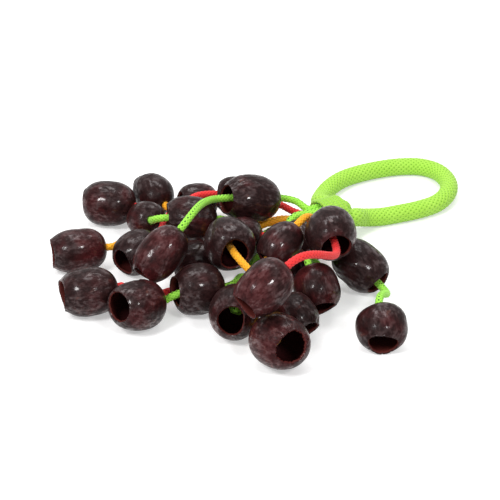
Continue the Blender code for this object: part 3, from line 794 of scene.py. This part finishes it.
def shell_material(name, shift, wrinkles, redness, scuffs):
    """Polished dark shell: near-black brown with maroon clouds, dark flecks, worn paler scuffs
    and fine lengthwise streaks, with a red-brown lip and a dark maroon hollow. The polish is
    thin in places, so its shine is patchy."""
    material, shader, start = new_material(name)
    attribute = "ShaderNodeAttribute"
    grain = start.node(attribute, {}, "Vector", attribute_name="grain")
    along = start.node(attribute, {}, "Fac", attribute_name="along")
    clouds = grain.noise(75.0, 3.0, 0.5, shift=shift)
    patches = grain.noise(210.0, 5.0, 0.6, shift=shift + 3.0)
    flecks = grain.noise(620.0, 4.0, 0.65, (1.0, 1.0, 0.5), shift + 5.0)
    streaks = grain.noise(800.0, 4.0, 0.62, (1.0, 1.0, 0.14), shift)
    pores = grain.noise(2400.0, 2.0, 0.5, (1.0, 1.0, 0.5), shift)
    red = clouds.between(0.60 - 0.35 * redness, 0.80 - 0.25 * redness)
    skin = red.mix((0.030, 0.011, 0.011), (0.070, 0.012, 0.013))
    skin = patches.between(0.38, 0.60).mix(skin * 0.65, skin)
    skin = flecks.between(0.34, 0.60).mix(skin * 0.5, skin)
    pale = patches.between(0.62 - 0.10 * scuffs, 0.74) * streaks.between(0.42, 0.62)
    skin = (pale * (0.2 + 0.5 * scuffs)).mix(skin, (0.16, 0.055, 0.04))
    edge = along.between(1.03, 1.08)
    skin = edge.mix(skin, (0.085, 0.016, 0.013))
    deep = along.between(1.1, 1.5)
    skin = deep.mix(skin, (0.040, 0.008, 0.009))
    rough = 0.20 + 0.14 * flecks + 0.16 * streaks + 0.12 * scuffs * pale + 0.3 * edge
    height = streaks * (0.25 + 0.5 * wrinkles) + pores * 0.3 + patches * 0.8 + flecks * 0.45
    bump = start.node("ShaderNodeBump", {"Strength": 0.6, "Distance": 0.0005, "Height": height})
    polish = flecks.between(0.42, 0.60) * patches.between(0.38, 0.62)
    feed(
        start, shader, Base_Color=skin, Roughness=rough, Normal=bump,
        Coat_Weight=(0.02 + 0.85 * polish) * (1 - edge), Coat_Roughness=0.12,
        Specular_IOR_Level=0.07,
    )
    return material


for seed, nut in enumerate(nuts):
    dents, wrinkles, redness, scuffs, chips = NUT_LOOKS.get(nut.name, PLAIN_LOOK)
    look = shell_material(nut.name.replace("nut", "skin"), 1.7 * seed, wrinkles, redness, scuffs)
    dress_nut(nut, seed, look, dents, wrinkles, chips)


# Cords. Each is a 4 mm braided polyester cord that leaves the neck binding, goes through two
# shells and is knotted inside each. The braid is an egg-crate of small stitches, and the green
# one has a row of dark stitches along it.
CORD_SIDES = 24
CORD_RING_STEP = 0.00035
STITCH_LENGTH = 0.0021
STITCHES_ROUND = 6
STITCH_RELIEF = 0.00016
DOT_ROW = 3 * math.pi / 2


def carry_frames(points):
    """Tangents of a path, and two directions across it that turn as little as they can."""
    tangent = np.gradient(points, axis=0)
    tangent /= np.linalg.norm(tangent, axis=1, keepdims=True)
    across = np.empty_like(points)
    way = np.cross(tangent[0], (0.3, 0.2, 0.93))
    for i, ahead in enumerate(tangent):
        way = way - ahead * (way @ ahead)
        way /= np.linalg.norm(way)
        across[i] = way
    return tangent, across, np.cross(tangent, across)


def rope_surface(points, radius, sides, stitches, stitch_length, relief):
    """A tube round a path with its ends drawn in to a point. Its radius is the rope's, plus the
    relief times cos(stitches x turn) x cos(distance along / stitch length)."""
    tangent, across, up = carry_frames(points)
    far = np.concatenate([[0], np.cumsum(np.linalg.norm(np.diff(points, axis=0), axis=1))])
    turn = 2 * math.pi * np.arange(sides) / sides
    ridges = np.cos(stitches * turn) * np.cos(2 * math.pi * far[:, None] / stitch_length)
    reach = radius[:, None] + relief * (ridges - 1)
    ends = np.minimum(np.arange(len(points)), np.arange(len(points))[::-1])
    reach *= np.sqrt(np.clip((ends[:, None] + 0.02) / 3, 0, 1))
    round_it = across[:, None] * np.cos(turn)[:, None] + up[:, None] * np.sin(turn)[:, None]
    skin = points[:, None] + round_it * reach[..., None]
    along = np.repeat(far, sides)
    around = np.tile(turn, len(points))
    return skin.reshape(-1, 3), along, around


def tube_faces(rings, sides):
    """Quads along an open tube, whose two ends are closed with one face each."""
    index = np.arange(rings * sides).reshape(rings, sides)
    across = np.roll(index, -1, axis=1)
    sides_of = np.stack([index[:-1], across[:-1], across[1:], index[1:]], axis=-1).reshape(-1, 4)
    return sides_of.tolist() + [index[0][::-1].tolist(), index[-1].tolist()]


def even_path(points, values, step):
    """Points a step apart on the smooth curve through the points, and the values there."""
    curve, place = smooth_route(points, step)
    spread = np.interp(np.arange(len(curve)), place, values)
    far = np.concatenate([[0], np.cumsum(np.linalg.norm(np.diff(curve, axis=0), axis=1))])
    even = np.linspace(0, far[-1], int(far[-1] / step) + 1)
    path = np.stack([np.interp(even, far, curve[:, axis]) for axis in range(3)], axis=1)
    return path, np.interp(even, far, spread)


def braid_material(name, colour, dark, stitches, stitch_length, dot_row):
    """Braided yarn: stitches with painted shade darkening the valleys between them, faint threads
    across each, and a row of dark dots along the cord where dot_row says so."""
    material, shader, start = new_material(name)
    attribute = "ShaderNodeAttribute"
    along = start.node(attribute, {}, "Fac", attribute_name="along")
    around = start.node(attribute, {}, "Fac", attribute_name="around")
    place = start.node("ShaderNodeTexCoord", {}, "Object")
    wave = start.maths("COSINE", around * stitches)
    wave = wave * start.maths("COSINE", along * (2 * math.pi / stitch_length))
    fibre = start.maths("SINE", along * (2 * math.pi / stitch_length * 5) + around * stitches * 2)
    fuzz = place.noise(1800.0, 3.0, 0.6)
    # Painted shade: the colour turns towards the dark one in the valleys between stitches.
    shade = (0.5 - 0.5 * wave).between(0.45, 1.0) * 0.75 + 0.12 * fuzz
    skin = shade.mix(colour, dark)
    if dot_row:
        ring = start.maths("ABSOLUTE", start.maths("SUBTRACT", around, dot_row))
        beat = start.maths("COSINE", along * (2 * math.pi / stitch_length))
        dots = (0.28 - ring).between(-0.05, 0.1) * beat.between(-0.1, 0.6)
        skin = (dots * 0.9).mix(skin, tuple(0.18 * c for c in dark))
    height = wave * 0.5 + fibre * 0.12 + fuzz * 0.3
    bump = start.node("ShaderNodeBump", {"Strength": 0.5, "Distance": 0.0002, "Height": height})
    feed(
        start, shader, Base_Color=skin, Roughness=0.55 + 0.2 * fuzz, Normal=bump,
        Sheen_Weight=0.15, Sheen_Roughness=0.4, Specular_IOR_Level=0.35,
    )
    return material


# Each yarn's second colour is the painted shade of its stitch valleys; the green's row of dark
# dots, a real pattern, takes a share of it.
CORD_YARNS = {
    "green": braid_material(
        "green_braid", (0.36, 0.82, 0.07), (0.13, 0.42, 0.02),
        STITCHES_ROUND, STITCH_LENGTH, DOT_ROW,
    ),
    "yellow": braid_material(
        "yellow_braid", (0.95, 0.43, 0.01), (0.62, 0.20, 0.005), STITCHES_ROUND, STITCH_LENGTH, 0
    ),
    "red": braid_material(
        "red_braid", (0.86, 0.03, 0.03), (0.42, 0.008, 0.01), STITCHES_ROUND, STITCH_LENGTH, 0
    ),
}
for number, (strand, (points, widths)) in enumerate(zip(STRANDS, cords), start=1):
    colour = strand["cord"]
    path, width = even_path(points, widths, CORD_RING_STEP)
    skin, along, around = rope_surface(
        path, width / 2, CORD_SIDES, STITCHES_ROUND, STITCH_LENGTH, STITCH_RELIEF
    )
    node = f"cord_{number:02d}_{colour}"
    mesh = bpy.data.meshes.new(f"braid_{number:02d}_{colour}")
    mesh.from_pydata((skin + CENTRE).tolist(), [], tube_faces(len(path), CORD_SIDES))
    mesh.materials.append(CORD_YARNS[colour])
    mesh.shade_smooth()
    give(mesh, "along", "FLOAT", along)
    give(mesh, "around", "FLOAT", around)
    piece = bpy.data.objects.new(f"braid_{number:02d}_{colour}", mesh)
    bpy.context.scene.collection.objects.link(piece)
    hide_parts(node)
    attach(piece, "root")
    stride = path[:: 8]
    trail = np.concatenate([stride, path[-1:]]) + CENTRE


# Handle loop. A thick rope, knitted over a soft core, bent into one loop. Its stitches stand in
# staggered rows with a small gap between each, darkened with painted shade, and both its ends go
# into the binding.
HANDLE_SIDES = 84
HANDLE_RING_STEP = 0.0005
KNIT_LENGTH = 0.0030
KNITS_ROUND = 12
KNIT_RELIEF = 0.00016


def handle_path():
    """The loop's route, from the binding round to the binding again."""
    centre, out, right = neck_frame()
    seat = centre - out * (BINDING_LENGTH - GRIP_DEPTH)
    outside = centre - out * (BINDING_LENGTH + HANDLE_WIDTH / 2)
    first, last = -right * handle_offset(), right * handle_offset()
    route = [seat + last, outside + last, *[np.array(p) for p in reversed(HANDLE_ROUTE)]]
    return np.array([*route, outside + first, seat + first][::-1])


def knit_material():
    """Knitted yarn of the handle: yellow-green stitches, with painted shade darkening them to olive
    towards the gaps between them.
    """
    material, shader, start = new_material("handle_knit")
    attribute = "ShaderNodeAttribute"
    along = start.node(attribute, {}, "Fac", attribute_name="along")
    around = start.node(attribute, {}, "Fac", attribute_name="around")
    place = start.node("ShaderNodeTexCoord", {}, "Object")
    wave = start.maths("COSINE", around * KNITS_ROUND)
    wave = wave * start.maths("COSINE", along * (2 * math.pi / KNIT_LENGTH))
    fuzz = place.noise(1500.0, 3.0, 0.6)
    broad = place.noise(90.0, 2.0, 0.5)
    skin = broad.mix((0.34, 0.68, 0.055), (0.42, 0.73, 0.09))
    # Painted shade: darker down the sides of each stitch and darkest in the gaps between stitches.
    skin = (wave * -1).between(0.1, 0.9).mix(skin, (0.26, 0.56, 0.03))
    skin = (wave * -1).between(0.62, 0.95).mix(skin, (0.13, 0.34, 0.015))
    height = wave * 0.6 + fuzz * 0.35
    bump = start.node("ShaderNodeBump", {"Strength": 0.5, "Distance": 0.0003, "Height": height})
    feed(
        start, shader, Base_Color=skin, Roughness=0.62 + 0.2 * fuzz, Normal=bump,
        Sheen_Weight=0.2, Sheen_Roughness=0.4, Specular_IOR_Level=0.3,
    )
    return material


route, _ = smooth_route(handle_path(), HANDLE_STEP * HANDLE_WIDTH)
path, width = even_path(route, np.full(len(route), HANDLE_WIDTH), HANDLE_RING_STEP)
skin, along, around = rope_surface(
    path, width / 2, HANDLE_SIDES, KNITS_ROUND, KNIT_LENGTH, KNIT_RELIEF
)
mesh = bpy.data.meshes.new("handle_rope")
mesh.from_pydata((skin + CENTRE).tolist(), [], tube_faces(len(path), HANDLE_SIDES))
knit = knit_material()
mesh.materials.append(knit)
mesh.shade_smooth()
give(mesh, "along", "FLOAT", along)
give(mesh, "around", "FLOAT", around)
handle = bpy.data.objects.new("handle_rope", mesh)
bpy.context.scene.collection.objects.link(handle)
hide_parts("handle_loop")
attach(handle, "root")
trail = np.concatenate([path[::6], path[-1:]]) + CENTRE


# Neck binding. Turns of the handle's green yarn wound tight and side by side round all the cords
# and the handle's two ends.
BINDING_FINE_SIDES = 96
BINDING_TURN_RINGS = 14


def binding_surface():
    """An oval ring whose outside swells and shrinks once for each turn of cord, by the square
    root of 1 - t squared across a turn, and whose inside is plain."""
    centre, out, right = neck_frame()
    t = np.linspace(-1, 1, BINDING_TURN_RINGS, endpoint=False)
    bulge = np.sqrt(1 - 0.8 * t**2)
    profile = np.tile((bulge - bulge.min()) / (1 - bulge.min()), BINDING_TURNS)
    depth = np.concatenate([BINDING_GROOVE * (1 - profile), [BINDING_WALL, BINDING_WALL]])
    back = np.concatenate([np.linspace(0, BINDING_LENGTH, len(profile)), [BINDING_LENGTH, 0.0]])
    half = binding_outer() - depth[:, None]
    turn = 2 * math.pi * np.arange(BINDING_FINE_SIDES) / BINDING_FINE_SIDES
    sideways = (np.cos(turn) * half[:, :1])[..., None] * right
    upwards = (np.sin(turn) * half[:, 1:])[..., None] * np.array([0.0, 0.0, 1.0])
    rings = centre - out * back[:, None, None] + sideways + upwards
    along = turn * half.mean() + 0 * back[:, None]
    around = 2 * math.pi * BINDING_TURNS * back[:, None] / BINDING_LENGTH + 0 * turn
    return rings, along, around


rings, along, around = binding_surface()
binding = put_in_scene(
    "neck_whipping", rings.reshape(-1, 3), ring_faces(*rings.shape[:2]), knit,
    "neck_binding",
)
give(binding.data, "along", "FLOAT", along)
give(binding.data, "around", "FLOAT", around)


# Table, backdrop, lamps and camera: a white table under soft light, seen from 30 degrees above.
def straight_rays(start):
    """1 for a ray from the camera, a reflection or a look through, and 0 for spread light."""
    kinds = ("Is Camera Ray", "Is Glossy Ray", "Is Transmission Ray")
    camera, glossy, through = (start.node("ShaderNodeLightPath", {}, kind) for kind in kinds)
    return start.maths("MAXIMUM", start.maths("MAXIMUM", camera, glossy), through)


def white_table(name):
    """White that stays white to the camera and in reflections, and keeps the soft shadow."""
    material, shader, start = new_material(name)
    tree = start.tree
    feed(start, shader, Base_Color=(0.78, 0.78, 0.78, 1.0), Roughness=0.9, Specular_IOR_Level=0.1)
    glow = start.node("ShaderNodeEmission", {"Color": (1, 1, 1, 1), "Strength": 0.42})
    surface = Wire(tree, shader.outputs[0])
    both = start.node("ShaderNodeAddShader", {0: surface, 1: glow})
    mixed = start.node("ShaderNodeMixShader", {0: straight_rays(start), 1: surface, 2: both})
    tree.links.new(mixed.socket, tree.nodes["Material Output"].inputs[0])
    return material


FLOOR_HALF = 3.0
table = bpy.data.meshes.new("table_top")
table.from_pydata(
    [(x * FLOOR_HALF, y * FLOOR_HALF, 0.0) for x, y in ((-1, -1), (1, -1), (1, 1), (-1, 1))],
    [],
    [(0, 1, 2, 3)],
)
table.materials.append(white_table("white_table"))
table_top = bpy.data.objects.new("table_top", table)
bpy.context.scene.collection.objects.link(table_top)

world = bpy.data.worlds.new("white_room")
bpy.context.scene.world = world
world.use_nodes = True
sky = world.node_tree
start = Wire(sky, None)
room = start.node("ShaderNodeBackground", {"Color": (1, 1, 1, 1), "Strength": 0.40})
white = start.node("ShaderNodeBackground", {"Color": (1, 1, 1, 1), "Strength": 1.0})
mixed = start.node("ShaderNodeMixShader", {0: straight_rays(start), 1: room, 2: white})
sky.links.new(mixed.socket, sky.nodes["World Output"].inputs[0])


def soft_lamp(name, place, aim, size, power):
    lamp = bpy.data.lights.new(name, "AREA")
    lamp.shape = "RECTANGLE"
    lamp.size, lamp.size_y = size
    lamp.energy = power
    obj = bpy.data.objects.new(name, lamp)
    bpy.context.scene.collection.objects.link(obj)
    point_at(obj, place, aim)


def point_at(obj, place, aim):
    """Turns a lamp or camera at a place so that it looks at the aim with +Z up."""
    place = np.array(place)
    back = place - np.array(aim)
    back = back / np.linalg.norm(back)
    side = np.cross((0.0, 0.0, 1.0), back)
    side = side / np.linalg.norm(side)
    matrix = np.eye(4)
    matrix[:3, :3] = np.stack([side, np.cross(back, side), back], axis=1)
    matrix[:3, 3] = place
    obj.matrix_world = Matrix(matrix.tolist())


soft_lamp("front_left_softbox", (-0.45, -0.55, 0.75), (0, 0, 0), (0.24, 0.24), 6.0)
soft_lamp("front_right_softbox", (0.35, -0.65, 0.70), (0, 0, 0), (0.14, 0.14), 2.6)
soft_lamp("top_softbox", (0.0, 0.35, 0.9), (0, 0, 0), (0.9, 0.6), 5.5)

camera = bpy.data.cameras.new("photo_camera")
camera.lens = 115.2
camera.sensor_width = 36.0
camera.clip_start = 0.01
photo_camera = bpy.data.objects.new("photo_camera", camera)
bpy.context.scene.collection.objects.link(photo_camera)
AIM = np.array([-0.002, 0.024, 0.0]) + CENTRE
DISTANCE = 0.8
ELEVATION = math.radians(30)
eye = AIM + DISTANCE * np.array([0.0, -math.cos(ELEVATION), math.sin(ELEVATION)])
point_at(photo_camera, eye, AIM)
bpy.context.scene.camera = photo_camera
bpy.context.scene.view_settings.view_transform = "Standard"
